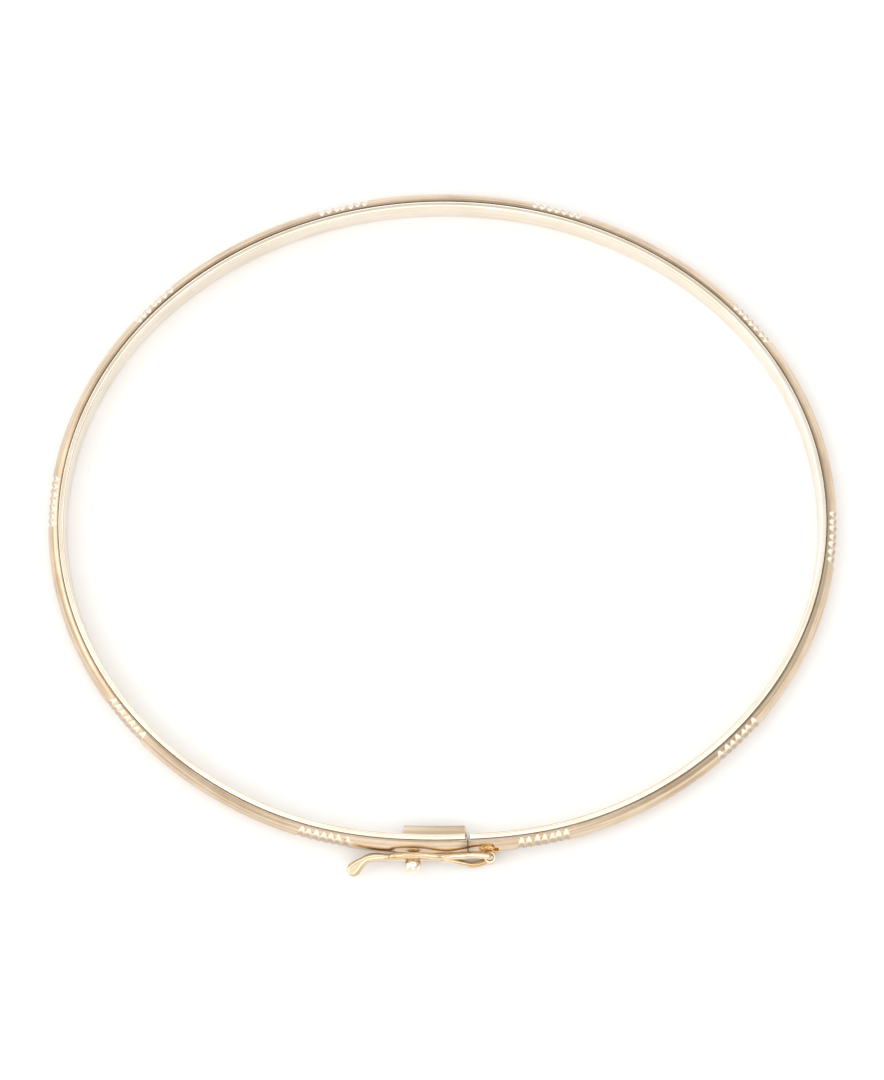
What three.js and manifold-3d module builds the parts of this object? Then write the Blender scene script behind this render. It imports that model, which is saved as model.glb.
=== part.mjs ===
// Hollow oval bangle bracelet, 3 mm wide, with a tongue clasp and a figure-eight safety catch.
//
// Millimetres, +Z up. The ring lies flat, its axis along +Z, with the clasp towards -Y. The origin is the
// middle of the bounding box's bottom face.
//
// Most pieces are laid out along the ring by three values:
//   s  distance along the inner face, 0 at the clasp, growing towards +X (anticlockwise from above)
//   r  distance outwards from the inner face
//   z  height above the rim that the ring rests on
import * as THREE from "three";
import { mergeVertices } from "three/addons/utils/BufferGeometryUtils.js";
import Module from "manifold-3d";

const wasm = await Module();
wasm.setup();

// ---------------------------------------------------------------- driving dimensions

// The ring
const INNER_LENGTH = 60.27; // inner oval, along X
const INNER_DEPTH = 51.28; // inner oval, along Y
const CLASP_FLAT = 0.5; // how far the oval is pressed flat at the clasp
const CLASP_FLAT_SPREAD = 9.0; // how far along the ring the flat fades out
const TUBE_WIDTH = 3.0; // along Z
const TUBE_DEPTH = 1.4; // inner face to the crown of the dome
const RIM_HEIGHT = 0.46; // straight side of the channel
const RIM_ROUND = 0.1; // rounding of the channel's inner edges
const SHEET = 0.22; // sheet that channel and dome are formed from
const SEAM_GAP = 0.04; // channel to dome
const BACK_GAP = 0.04; // between the two halves at the back

// The cut groups on the dome
const GROUPS = 10;
const GROUP_SHIFT = -1.46; // the whole pattern, along the ring
const GROUP_DRIFT = 0.6; // groups crowd towards the long sides by this much
const DRIFT_PHASE = 11.7; // where along the ring the crowding is strongest
const CUTS = 7; // in one group
const CUT_PITCH = 0.58;
const CUT_DEPTH = 0.13; // at the crown
const CUT_RADIUS = 0.3; // of the cutter, across the cut
const CUT_REACH = 1.3; // from the crown to a cut's pointed end, along Z
const GROUP_SINK = 0.05; // the crown of a group is planed down by this much

// The mouth, where the two halves meet
const MOUTH_AT = 1.63;
const MOUTH_GAP = 0.08; // between the domes
const RIM_GAP = 0.32; // between the channels
const MOUTH_ROUND = 0.12; // corners of the channels at the mouth
const PLATE = 0.35; // mouth plate and end plug, along the ring
const FIT = 0.04; // pieces brazed inside the tube, to the tube

// The tongue and its press tab
const TONGUE_LENGTH = 6.5; // from the mouth to the fold
const TONGUE_WIDTH = 1.3;
const BLADE = 0.12;
const BLADE_R = 0.62; // inner side of the blade
const LEAF = 0.1;
const LEAF_R = 0.26; // inner side of the leaf's free end
const LEAF_JOG = 0.04; // leaf to blade at the fold
const WINDOW_CLEARANCE = 0.07; // mouth window to the tongue
const TAB_LENGTH = 5.1;
const TAB_HEIGHT = 0.82; // how far it stands in from the inner face
const TAB_WIDTH = 1.1;
const TAB_SLOPE = 0.1; // how far each end leans in
const TAB_ROUND = 0.16;
const TAB_CLEARANCE = 0.1; // to the slot's sides
const TAB_LEAF_GAP = 0.03;
const TAB_BEVEL = 0.06;
const TAB_MOUTH_GAP = 0.05; // tab's end to the mouth
const SLOT_END_GAP = 0.18; // tab's other end to the end of its slot
const LEAF_PLATE_GAP = 0.06; // leaf's free end to the mouth plate
const LEAF_FOLD_GAP = 0.16; // leaf's root to the fold

// The ball stud
const BALL = 1.34;
const BALL_AT = -2.59;
const BALL_OFF = 0.93; // ball centre to the crown
const POST = 0.62;

// The safety
const WIRE = 0.5;
const KNUCKLE_AT = 3.26;
const KNUCKLE_OFF = 0.5; // hinge axis to the crown
const BORE_CLEARANCE = 0.08; // knuckle bore to the wire, on the diameter
const KNUCKLE_WALL = 0.16;
const KNUCKLE_LENGTH = 1.5;
const LEG_DEPTH = 0.5; // how far each wire end goes into the knuckle
const HINGE_SPREAD = 1.2; // wire centre to the middle plane, at the hinge
const WAIST_AT = -0.1;
const WAIST_SPREAD = 0.5;
const LOOP_CLEARANCE = 0.12; // wire to the ball
const LOOP_GAP = 0; // wire to the level of the crown, beside the ball
const LOOP_END_GAP = 0.25; // the same at the loop's end
const LOOP_END_AT = -5.0;
const LOOP_END_SPREAD = 0.29;
const SEAT_LENGTH = 0.95; // saddle, along the ring
const SEAT_HEEL = 0.12; // how far it reaches further on the mouth's side
const SEAT_SET_IN = 0.1; // saddle's sides to the knuckle's ends
const BEAD_LENGTH = 0.42; // solder run behind the saddle
const BEAD_WIDTH = 1.0;
const BEAD_HEIGHT = 0.3;
const LIFT_SEAM = 0.05; // wire to lift
const LIFT_THICK = 0.66;
const LIFT_TIP = 1.08; // thickness of the rounded tip
const LIFT_WIDE = 1.05;
const LIFT_ROUND = 0.12; // rounding of its edges
const LIFT_LENGTH = 1.63; // seam to the tip's middle, along the ring
const LIFT_RISE = 1.18; // how far the tip's middle stands off the wire's line
const TWIST_UPPER = 0.17; // the safety sits twisted: its upper wire nearer the tube before the hinge
const TWIST_LOWER = 0.38; // and its lower wire further off
const TWIST_FADE = 1; // length over which the twist builds up, before the waist and before the hinge
const ELBOW = 0.34; // bend from the wire into the knuckle

// Finish
const GOLD = { color: 0xe6cd9f, roughness: 0.22, metalness: 1.0 };
const SATIN_GOLD = { color: 0xdfc498, roughness: 0.3, metalness: 1.0 };
const SOLDER = { color: 0xa8762f, roughness: 0.5, metalness: 1.0 };

// Facets
const RING_STEPS = 36;
const DOME_STEPS = 7;
const CUTTER_SIDES = 4;
const CUTTER_STEPS = 3;
const WIRE_SIDES = 8;
const WIRE_STEPS = 80;
const POST_SIDES = 14;

// ---------------------------------------------------------------- the ring's line

const HALF_X = INNER_LENGTH / 2;
const HALF_Y = INNER_DEPTH / 2;
const MID_Z = TUBE_WIDTH / 2;

// The inner face seen from above, anticlockwise from the clasp, by an angle.
function ovalPoint(angle) {
  const out = new THREE.Vector2(HALF_Y * Math.sin(angle), -HALF_X * Math.cos(angle)).normalize();
  const along = Math.atan2(Math.sin(angle), Math.cos(angle)) * HALF_X;
  const pressed = CLASP_FLAT * Math.exp(-((along / CLASP_FLAT_SPREAD) ** 2));
  return new THREE.Vector2(
    HALF_X * Math.sin(angle) - pressed * out.x,
    -HALF_Y * Math.cos(angle) - pressed * out.y,
  );
}

// The whole inner face as a curve, from the back round the clasp side to the back again.
class Oval extends THREE.Curve {
  getPoint(t, target = new THREE.Vector3()) {
    const p = ovalPoint((2 * t - 1) * Math.PI);
    return target.set(p.x, p.y, 0);
  }
}
const oval = new Oval();
oval.arcLengthDivisions = 4000;
const GIRTH = oval.getLength();
const BACK_S = GIRTH / 2;

// The point at (s, r) seen from above.
function at(s, r) {
  const u = THREE.MathUtils.clamp((s + BACK_S) / GIRTH, 0, 1);
  const p = oval.getPointAt(u);
  const t = oval.getTangentAt(u);
  return new THREE.Vector2(p.x + t.y * r, p.y - t.x * r);
}

// A stretch of the ring's line, for a sweep.
class Stretch extends THREE.Curve {
  constructor(from, to) {
    super();
    this.from = from;
    this.to = to;
  }
  getPoint(t, target = new THREE.Vector3()) {
    const p = at(this.from + (this.to - this.from) * t, 0);
    return target.set(p.x, p.y, 0);
  }
}

// ---------------------------------------------------------------- solids

function toSolid(geometry) {
  const bare = geometry.index ? geometry.toNonIndexed() : geometry.clone();
  bare.deleteAttribute("normal");
  bare.deleteAttribute("uv");
  const merged = mergeVertices(bare, 1e-5);
  return new wasm.Manifold(
    new wasm.Mesh({
      numProp: 3,
      vertProperties: merged.attributes.position.array,
      triVerts: new Uint32Array(merged.index.array),
    }),
  );
}

function toGeometry(solid) {
  const mesh = solid.getMesh();
  const geometry = new THREE.BufferGeometry();
  geometry.setAttribute("position", new THREE.BufferAttribute(mesh.vertProperties, mesh.numProp));
  geometry.setIndex(new THREE.BufferAttribute(mesh.triVerts, 1));
  geometry.computeVertexNormals();
  return geometry;
}

// A section given as [r, z] points, swept along the ring.
function sweep(section, from, to, steps) {
  const shape = new THREE.Shape(section.map(([r, z]) => new THREE.Vector2(-z, -r)));
  return new THREE.ExtrudeGeometry(shape, { extrudePath: new Stretch(from, to), steps });
}

// An outline given as [s, r] points, laid on the ring and raised from low to high.
function slab(outline, low, high, bevel = 0) {
  const shape = new THREE.Shape(outline.map(([s, r]) => at(s, r)));
  const geometry = new THREE.ExtrudeGeometry(shape, {
    depth: high - low - 2 * bevel,
    bevelEnabled: bevel > 0,
    bevelThickness: bevel,
    bevelSize: bevel,
    bevelOffset: -bevel,
    bevelSegments: 2,
    curveSegments: 4,
  });
  return geometry.translate(0, 0, low + bevel);
}

// A round bar along a curve.
function bar(curve, radius, sides, steps) {
  const shape = new THREE.Shape();
  for (let i = 0; i < sides; i++) {
    const a = (2 * Math.PI * i) / sides;
    const p = [radius * Math.cos(a), radius * Math.sin(a)];
    if (i === 0) shape.moveTo(...p);
    else shape.lineTo(...p);
  }
  return new THREE.ExtrudeGeometry(shape, { extrudePath: curve, steps });
}

// A straight cylinder along Z.
function post(x, y, low, high, radius, sides = 20) {
  const geometry = new THREE.CylinderGeometry(radius, radius, high - low, sides);
  return geometry.rotateX(Math.PI / 2).translate(x, y, (low + high) / 2);
}

// ---------------------------------------------------------------- the tube's section

const DOME_FOOT = RIM_HEIGHT + SEAM_GAP; // where the dome starts
const DOME_RISE = TUBE_DEPTH - DOME_FOOT;
const DOME_RADIUS = (MID_Z ** 2 + DOME_RISE ** 2) / (2 * DOME_RISE);
const DOME_CENTRE = TUBE_DEPTH - DOME_RADIUS;

// Height of the dome, grown by a margin, at a distance from the middle plane.
function domeR(offMiddle, margin = 0) {
  return DOME_CENTRE + Math.sqrt((DOME_RADIUS + margin) ** 2 - offMiddle ** 2);
}

// Points of an arc about the dome's centre, from the foot at low z to the foot at high z.
function domeArc(radius, footR, steps) {
  const reach = Math.acos((footR - DOME_CENTRE) / radius);
  const points = [];
  for (let i = 0; i <= steps; i++) {
    const a = -reach + (2 * reach * i) / steps;
    points.push([DOME_CENTRE + radius * Math.cos(a), MID_Z + radius * Math.sin(a)]);
  }
  return points;
}

const domeSection = [
  ...domeArc(DOME_RADIUS, DOME_FOOT, DOME_STEPS),
  ...domeArc(DOME_RADIUS - SHEET, DOME_FOOT, DOME_STEPS).reverse(),
];

const channelSection = [
  [RIM_HEIGHT, 0],
  [RIM_HEIGHT, SHEET],
  [SHEET, SHEET],
  [SHEET, TUBE_WIDTH - SHEET],
  [RIM_HEIGHT, TUBE_WIDTH - SHEET],
  [RIM_HEIGHT, TUBE_WIDTH],
  [RIM_ROUND, TUBE_WIDTH],
  [RIM_ROUND * 0.3, TUBE_WIDTH - RIM_ROUND * 0.3],
  [0, TUBE_WIDTH - RIM_ROUND],
  [0, RIM_ROUND],
  [RIM_ROUND * 0.3, RIM_ROUND * 0.3],
  [RIM_ROUND, 0],
];

// The hollow of the tube, less a fit all round.
function hollowSection(fit) {
  const side = SHEET + fit;
  const shoulder = domeArc(DOME_RADIUS - SHEET - fit, DOME_FOOT, 8);
  const inside = shoulder.filter(([, z]) => z > side && z < TUBE_WIDTH - side);
  const top = DOME_CENTRE + Math.sqrt((DOME_RADIUS - SHEET - fit) ** 2 - (MID_Z - side) ** 2);
  return [[side, side], [top, side], ...inside, [top, TUBE_WIDTH - side], [side, TUBE_WIDTH - side]];
}

// The outside of the tube, grown by a margin: what a brazed-on piece is shaped to.
function outsideSection(margin) {
  return [[0, -margin], ...domeArc(DOME_RADIUS + margin, DOME_FOOT, 24), [0, TUBE_WIDTH + margin]];
}

// ---------------------------------------------------------------- cuts in the dome

// One cut: a round cutter swung across the dome on a flatter arc than the dome's own.
function cutter(s) {
  const ends = domeR(CUT_REACH) + CUT_RADIUS;
  const crown = TUBE_DEPTH - CUT_DEPTH + CUT_RADIUS;
  const swing = crown - ends;
  const radius = (CUT_REACH ** 2 + swing ** 2) / (2 * swing);
  const reach = Math.asin(CUT_REACH / radius) * 1.25;
  const points = [];
  for (let i = 0; i <= CUTTER_STEPS; i++) {
    const a = -reach + (2 * reach * i) / CUTTER_STEPS;
    const p = at(s, crown - radius + radius * Math.cos(a));
    points.push(new THREE.Vector3(p.x, p.y, MID_Z + radius * Math.sin(a)));
  }
  return bar(new THREE.CatmullRomCurve3(points), CUT_RADIUS, CUTTER_SIDES, CUTTER_STEPS);
}

const GROUP_LENGTH = CUT_PITCH * CUTS;

// Middle of each group along the inner face.
function groupMiddle(k) {
  const even = GROUP_SHIFT + (GIRTH / GROUPS) * (k + 0.5) - BACK_S;
  return even + GROUP_DRIFT * Math.cos((4 * Math.PI * (even + DRIFT_PHASE)) / GIRTH);
}

// Everything that is taken off the dome between two places on the ring.
function cutDome(dome, from, to) {
  let solid = toSolid(dome);
  for (let k = 0; k < GROUPS; k++) {
    const middle = groupMiddle(k);
    if (middle < Math.min(from, to) || middle > Math.max(from, to)) continue;
    const plane = [
      [TUBE_DEPTH - GROUP_SINK, -MID_Z],
      [TUBE_DEPTH + 1, -MID_Z],
      [TUBE_DEPTH + 1, TUBE_WIDTH + MID_Z],
      [TUBE_DEPTH - GROUP_SINK, TUBE_WIDTH + MID_Z],
    ];
    const half = GROUP_LENGTH / 2;
    solid = solid.subtract(toSolid(sweep(plane, middle - half, middle + half, 3)));
    for (let i = 0; i < CUTS; i++) {
      const s = middle + (i - (CUTS - 1) / 2) * CUT_PITCH;
      solid = solid.subtract(toSolid(cutter(s)));
    }
  }
  return solid;
}

// ---------------------------------------------------------------- nodes

const bangle = new THREE.Group();

function add(name, body, finish) {
  const geometry = body.isBufferGeometry ? body : toGeometry(body);
  const mesh = new THREE.Mesh(geometry, new THREE.MeshStandardMaterial(finish));
  mesh.name = name;
  bangle.add(mesh);
}

const CHANNEL_END = RIM_GAP / 2;
const DOME_END = MOUTH_GAP / 2;

// Rounds off the channel's rims where they face the mouth. side is -1 for the receiver, 1 for the tongue.
function roundMouth(solid, side) {
  const edge = MOUTH_AT + side * CHANNEL_END;
  const cut = MOUTH_ROUND * 3;
  const corner = [
    [edge - side * 0.1, -0.5],
    [edge + side * MOUTH_ROUND, -0.5],
    [edge + side * MOUTH_ROUND, 0],
    [edge + side * MOUTH_ROUND * 0.3, MOUTH_ROUND * 0.3],
    [edge, MOUTH_ROUND],
    [edge - side * 0.1, MOUTH_ROUND],
  ];
  return solid.subtract(toSolid(slab(corner, -cut, TUBE_WIDTH + cut)));
}

// Tongue layout along the ring
const FOLD_AT = MOUTH_AT - TONGUE_LENGTH;
const PLATE_FACE = MOUTH_AT - CHANNEL_END;
const PLUG_FACE = MOUTH_AT + CHANNEL_END;
const LEAF_END = PLATE_FACE - PLATE - LEAF_PLATE_GAP;
const LEAF_START = FOLD_AT + LEAF_FOLD_GAP;
const LEAF_START_R = BLADE_R - LEAF_JOG - LEAF;
const TAB_END = MOUTH_AT - TAB_MOUTH_GAP;
const TAB_START = TAB_END - TAB_LENGTH;

// Inner side of the leaf, which rises from the fold to its free end.
function leafR(s) {
  const share = (s - LEAF_START) / (LEAF_END - LEAF_START);
  return THREE.MathUtils.lerp(LEAF_START_R, LEAF_R, share);
}

// --- tube halves

function channel(from, to, side) {
  return roundMouth(toSolid(sweep(channelSection, from, to, RING_STEPS)), side);
}

const tabSlot = slab(
  [
    [TAB_START - SLOT_END_GAP, -0.5],
    [MOUTH_AT + 0.5, -0.5],
    [MOUTH_AT + 0.5, RIM_HEIGHT],
    [TAB_START - SLOT_END_GAP, RIM_HEIGHT],
  ],
  MID_Z - TAB_WIDTH / 2 - TAB_CLEARANCE,
  MID_Z + TAB_WIDTH / 2 + TAB_CLEARANCE,
);

const receiverChannel = channel(BACK_GAP / 2 - BACK_S, MOUTH_AT - CHANNEL_END, -1);
add("channel_receiver", receiverChannel.subtract(toSolid(tabSlot)), GOLD);
add("channel_tongue", channel(MOUTH_AT + CHANNEL_END, BACK_S - BACK_GAP / 2, 1), GOLD);

function dome(from, to) {
  return cutDome(sweep(domeSection, from, to, RING_STEPS), from, to);
}
add("dome_receiver", dome(BACK_GAP / 2 - BACK_S, MOUTH_AT - DOME_END), SATIN_GOLD);
add("dome_tongue", dome(MOUTH_AT + DOME_END, BACK_S - BACK_GAP / 2), SATIN_GOLD);

// --- mouth plate and end plug

const windowHalf = TONGUE_WIDTH / 2 + WINDOW_CLEARANCE;
const windowTop = BLADE_R + BLADE + WINDOW_CLEARANCE;
const windowSlab = slab(
  [
    [PLATE_FACE - PLATE - 1, -0.5],
    [PLATE_FACE + 1, -0.5],
    [PLATE_FACE + 1, windowTop],
    [PLATE_FACE - PLATE - 1, windowTop],
  ],
  MID_Z - windowHalf,
  MID_Z + windowHalf,
);
const plate = toSolid(sweep(hollowSection(FIT), PLATE_FACE - PLATE, PLATE_FACE, 1));
add("mouth_plate", plate.subtract(toSolid(windowSlab)), GOLD);

function bladeOutline(grow) {
  return [
    [FOLD_AT, BLADE_R - grow],
    [PLUG_FACE + PLATE * 2, BLADE_R - grow],
    [PLUG_FACE + PLATE * 2, BLADE_R + BLADE + grow],
    [FOLD_AT, BLADE_R + BLADE + grow],
  ];
}
const bladeHole = slab(
  bladeOutline(FIT),
  MID_Z - TONGUE_WIDTH / 2 - FIT,
  MID_Z + TONGUE_WIDTH / 2 + FIT,
);
const plug = toSolid(sweep(hollowSection(FIT), PLUG_FACE, PLUG_FACE + PLATE, 1));
add("end_plug", plug.subtract(toSolid(bladeHole)), GOLD);

// --- tongue blade, spring leaf, press tab

function alongLine(from, to, steps, radial) {
  const points = [];
  for (let i = 0; i <= steps; i++) {
    const s = from + ((to - from) * i) / steps;
    points.push([s, radial(s)]);
  }
  return points;
}

const tongueLow = MID_Z - TONGUE_WIDTH / 2;
const tongueHigh = MID_Z + TONGUE_WIDTH / 2;
const bladeEnd = PLUG_FACE + PLATE * 2;
add(
  "tongue_blade",
  slab(
    [
      ...alongLine(FOLD_AT, bladeEnd, 8, () => BLADE_R),
      ...alongLine(bladeEnd, FOLD_AT, 8, () => BLADE_R + BLADE),
      [FOLD_AT - BLADE * 0.4, BLADE_R + BLADE * 0.5],
    ],
    tongueLow,
    tongueHigh,
  ),
  GOLD,
);
add(
  "spring_leaf",
  slab(
    [
      ...alongLine(LEAF_START, LEAF_END, 6, leafR),
      ...alongLine(LEAF_END, LEAF_START, 6, (s) => leafR(s) + LEAF),
    ],
    tongueLow,
    tongueHigh,
  ),
  GOLD,
);

const tabTop = -TAB_HEIGHT;
function tabCorner(s, lean) {
  const points = [];
  for (let i = 0; i <= 3; i++) {
    const a = (Math.PI / 2) * (i / 3);
    points.push([s + lean * TAB_ROUND * (1 - Math.cos(a)), tabTop + TAB_ROUND * (1 - Math.sin(a))]);
  }
  return points;
}
add(
  "press_tab",
  slab(
    [
      ...tabCorner(TAB_START + TAB_SLOPE, 1),
      ...tabCorner(TAB_END - TAB_SLOPE, -1).reverse(),
      [TAB_END, 0.1],
      [TAB_END, leafR(LEAF_END) - TAB_LEAF_GAP],
      ...alongLine(LEAF_END, TAB_START, 4, (s) => leafR(s) - TAB_LEAF_GAP),
    ],
    MID_Z - TAB_WIDTH / 2,
    MID_Z + TAB_WIDTH / 2,
    TAB_BEVEL,
  ),
  SATIN_GOLD,
);

// --- ball stud

const POST_TOP = BALL_OFF - BALL * 0.2; // the post ends inside the ball
const ballAt = at(BALL_AT, TUBE_DEPTH + BALL_OFF);
const studOut = at(BALL_AT, 1).sub(at(BALL_AT, 0));
const studTurn = Math.atan2(studOut.y, studOut.x);
const ball = new THREE.SphereGeometry(BALL / 2, 16, 10).translate(ballAt.x, ballAt.y, MID_Z);
const socket = new THREE.CylinderGeometry(POST / 2 + FIT, POST / 2 + FIT, BALL, POST_SIDES);
socket.rotateZ(-Math.PI / 2).translate(POST_TOP - BALL_OFF - BALL / 2, 0, 0).rotateZ(studTurn);
socket.translate(ballAt.x, ballAt.y, MID_Z);
add("stud_ball", toSolid(ball).subtract(toSolid(socket)), GOLD);
const stem = new THREE.CylinderGeometry(POST / 2, POST / 2, POST_TOP - FIT, POST_SIDES);
stem.rotateZ(-Math.PI / 2).translate((POST_TOP - FIT) / 2, 0, 0).rotateZ(studTurn);
const stemFoot = at(BALL_AT, TUBE_DEPTH);
stem.translate(stemFoot.x, stemFoot.y, MID_Z);
const tubeOutside = toSolid(sweep(outsideSection(FIT), BALL_AT - BALL * 2, KNUCKLE_AT + SEAT_LENGTH * 3, 40));
add("stud_post", toSolid(stem).subtract(tubeOutside), GOLD);

// --- safety hinge: saddle, knuckle tube, solder bead

const KNUCKLE_BORE = WIRE + BORE_CLEARANCE;
const KNUCKLE_RADIUS = KNUCKLE_BORE / 2 + KNUCKLE_WALL;
const hinge = at(KNUCKLE_AT, TUBE_DEPTH + KNUCKLE_OFF);
const knuckleLow = MID_Z - KNUCKLE_LENGTH / 2;
const knuckleHigh = MID_Z + KNUCKLE_LENGTH / 2;
const knuckle = toSolid(post(hinge.x, hinge.y, knuckleLow, knuckleHigh, KNUCKLE_RADIUS));
const bore = toSolid(post(hinge.x, hinge.y, -1, TUBE_WIDTH + 1, KNUCKLE_BORE / 2));
add("knuckle_tube", knuckle.subtract(bore), GOLD);

const knuckleRoom = toSolid(post(hinge.x, hinge.y, -1, TUBE_WIDTH + 1, KNUCKLE_RADIUS + FIT));
const seatStart = KNUCKLE_AT - SEAT_LENGTH / 2;
const seatEnd = KNUCKLE_AT + SEAT_LENGTH / 2;
const saddle = slab(
  [
    [seatStart - SEAT_HEEL, TUBE_DEPTH - DOME_RISE / 2],
    [seatEnd, TUBE_DEPTH - DOME_RISE / 2],
    [seatEnd, TUBE_DEPTH + KNUCKLE_OFF * 0.4],
    [seatEnd - 0.1, TUBE_DEPTH + KNUCKLE_OFF * 0.75],
    [seatStart + 0.05, TUBE_DEPTH + KNUCKLE_OFF * 0.5],
    [seatStart - SEAT_HEEL, TUBE_DEPTH + KNUCKLE_OFF * 0.25],
  ],
  knuckleLow + SEAT_SET_IN,
  knuckleHigh - SEAT_SET_IN,
);
add("knuckle_saddle", toSolid(saddle).subtract(tubeOutside).subtract(knuckleRoom), SOLDER);

const beadAt = seatEnd + FIT;
const bead = slab(
  [
    [beadAt, TUBE_DEPTH - DOME_RISE / 2],
    [beadAt + BEAD_LENGTH, TUBE_DEPTH - DOME_RISE / 2],
    [beadAt + BEAD_LENGTH, TUBE_DEPTH + FIT],
    [beadAt + BEAD_LENGTH / 2, TUBE_DEPTH + BEAD_HEIGHT * 0.45],
    [beadAt, TUBE_DEPTH + BEAD_HEIGHT],
  ],
  MID_Z - BEAD_WIDTH / 2,
  MID_Z + BEAD_WIDTH / 2,
);
add("saddle_solder", toSolid(bead).subtract(tubeOutside).subtract(knuckleRoom), SOLDER);

// --- safety wire: one wire from inside the knuckle, round the ball and back into the knuckle

const loopSpread = BALL / 2 + LOOP_CLEARANCE + WIRE / 2;
const loopOff = WIRE / 2 + LOOP_GAP;
function wireR(s, side = 0) {
  const toHinge = THREE.MathUtils.smoothstep(s, BALL_AT, KNUCKLE_AT);
  const toEnd = THREE.MathUtils.clamp((BALL_AT - s) / (BALL_AT - LOOP_END_AT), 0, 1);
  const off = loopOff + (KNUCKLE_OFF - loopOff) * toHinge + LOOP_END_GAP * toEnd;
  const twisted =
    THREE.MathUtils.smoothstep(s, WAIST_AT - TWIST_FADE, KNUCKLE_AT - TWIST_FADE) *
    (1 - THREE.MathUtils.smoothstep(s, KNUCKLE_AT - ELBOW * 2, KNUCKLE_AT));
  const twist = side > 0 ? -TWIST_UPPER : TWIST_LOWER;
  return TUBE_DEPTH + off + (side === 0 ? 0 : twisted * twist);
}
function wirePoint(s, spread, side) {
  const p = at(s, wireR(s, side));
  return new THREE.Vector3(p.x, p.y, MID_Z + side * spread);
}
function wireSide(side) {
  const legEnd = KNUCKLE_LENGTH / 2 - LEG_DEPTH;
  const p = (spread) => new THREE.Vector3(hinge.x, hinge.y, MID_Z + side * spread);
  return [
    p(legEnd),
    p(HINGE_SPREAD - ELBOW * 1.35),
    p(HINGE_SPREAD - ELBOW * 0.62),
    wirePoint(KNUCKLE_AT - ELBOW * 0.22, HINGE_SPREAD - ELBOW * 0.2, side),
    wirePoint(KNUCKLE_AT - ELBOW * 0.72, HINGE_SPREAD, side),
    wirePoint(KNUCKLE_AT - 1.2, HINGE_SPREAD - 0.1, side),
    wirePoint((KNUCKLE_AT + WAIST_AT) / 2 - 0.3, (HINGE_SPREAD + WAIST_SPREAD) / 2, side),
    wirePoint(WAIST_AT, WAIST_SPREAD, side),
    wirePoint(WAIST_AT - 0.8, (WAIST_SPREAD + loopSpread) / 2 - 0.04, side),
    wirePoint(BALL_AT + 0.75, loopSpread - 0.04, side),
    wirePoint(BALL_AT, loopSpread, side),
    wirePoint(BALL_AT - 0.75, loopSpread - 0.06, side),
    wirePoint((BALL_AT + LOOP_END_AT) / 2 - 0.4, (loopSpread + LOOP_END_SPREAD) / 2, side),
    wirePoint(LOOP_END_AT + 0.7, LOOP_END_SPREAD + 0.06, side),
    wirePoint(LOOP_END_AT + 0.3, LOOP_END_SPREAD, side),
  ];
}
const wireLine = new THREE.CatmullRomCurve3(
  [...wireSide(1), wirePoint(LOOP_END_AT, 0, 1), ...wireSide(-1).reverse()],
  false,
  "centripetal",
);
wireLine.arcLengthDivisions = 1200;
add("safety_wire", bar(wireLine, WIRE / 2, WIRE_SIDES, WIRE_STEPS), GOLD);

// --- thumb lift: a doubled bar that turns outwards from the loop's end

const liftStart = LOOP_END_AT - WIRE / 2 - LIFT_SEAM;
const liftBend = [
  [0, 0],
  [0.4, 0.14],
  [0.69, 0.46],
  [0.87, 0.75],
  [1, 1],
]; // shares of its length, and of its rise
const liftCurve = new THREE.CatmullRomCurve3(
  liftBend.map(([share, rise]) => {
    const p = at(liftStart - LIFT_LENGTH * share, wireR(liftStart) + LIFT_RISE * rise);
    return new THREE.Vector3(p.x, p.y, 0);
  }),
);

// Half the lift's thickness: the wire's at the seam, thicker along the bar, and bulbous at the tip.
function liftHalf(share) {
  const along = THREE.MathUtils.smoothstep(share, 0, 0.4);
  const tip = THREE.MathUtils.smoothstep(share, 0.6, 1);
  return (WIRE + (LIFT_THICK - WIRE) * along + (LIFT_TIP - LIFT_THICK) * tip) / 2;
}

function liftOutline() {
  const steps = 8;
  const inner = [];
  const outer = [];
  for (let i = 0; i <= steps; i++) {
    const p = liftCurve.getPointAt(i / steps);
    const t = liftCurve.getTangentAt(i / steps);
    const half = liftHalf(i / steps);
    inner.push(new THREE.Vector2(p.x - t.y * half, p.y + t.x * half));
    outer.push(new THREE.Vector2(p.x + t.y * half, p.y - t.x * half));
  }
  const end = liftCurve.getPointAt(1);
  const t = liftCurve.getTangentAt(1);
  const tip = [];
  for (let i = 1; i < 6; i++) {
    const out = (LIFT_TIP / 2) * Math.sin((Math.PI * i) / 6);
    const across = (LIFT_TIP / 2) * Math.cos((Math.PI * i) / 6);
    tip.push(new THREE.Vector2(end.x - t.y * across + t.x * out, end.y + t.x * across + t.y * out));
  }
  return [...inner, ...tip, ...outer.reverse()];
}

const liftGeometry = new THREE.ExtrudeGeometry(new THREE.Shape(liftOutline()), {
  depth: LIFT_WIDE - 2 * LIFT_ROUND,
  bevelEnabled: true,
  bevelThickness: LIFT_ROUND,
  bevelSize: LIFT_ROUND,
  bevelOffset: -LIFT_ROUND,
  bevelSegments: 3,
}).translate(0, 0, MID_Z - LIFT_WIDE / 2 + LIFT_ROUND);
add("thumb_lift", liftGeometry, GOLD);

// ---------------------------------------------------------------- frame

// The origin goes to the middle of the bounding box's bottom face.
const box = new THREE.Box3().setFromObject(bangle, true);
const middle = box.getCenter(new THREE.Vector3());
bangle.position.set(-middle.x, -middle.y, -box.min.z);

export default bangle;
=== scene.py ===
# Looks for the oval gold bangle: the ring with its cut groups, the tongue clasp and the safety catch.
# Sizes below are in millimetres and follow the CAD's; MM turns them into metres. The cuts, the tab's bevel
# and the rims' rounding are a little larger here than in the CAD.
import math

import bmesh
import bpy
import numpy as np
from mathutils import Matrix, Vector


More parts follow.
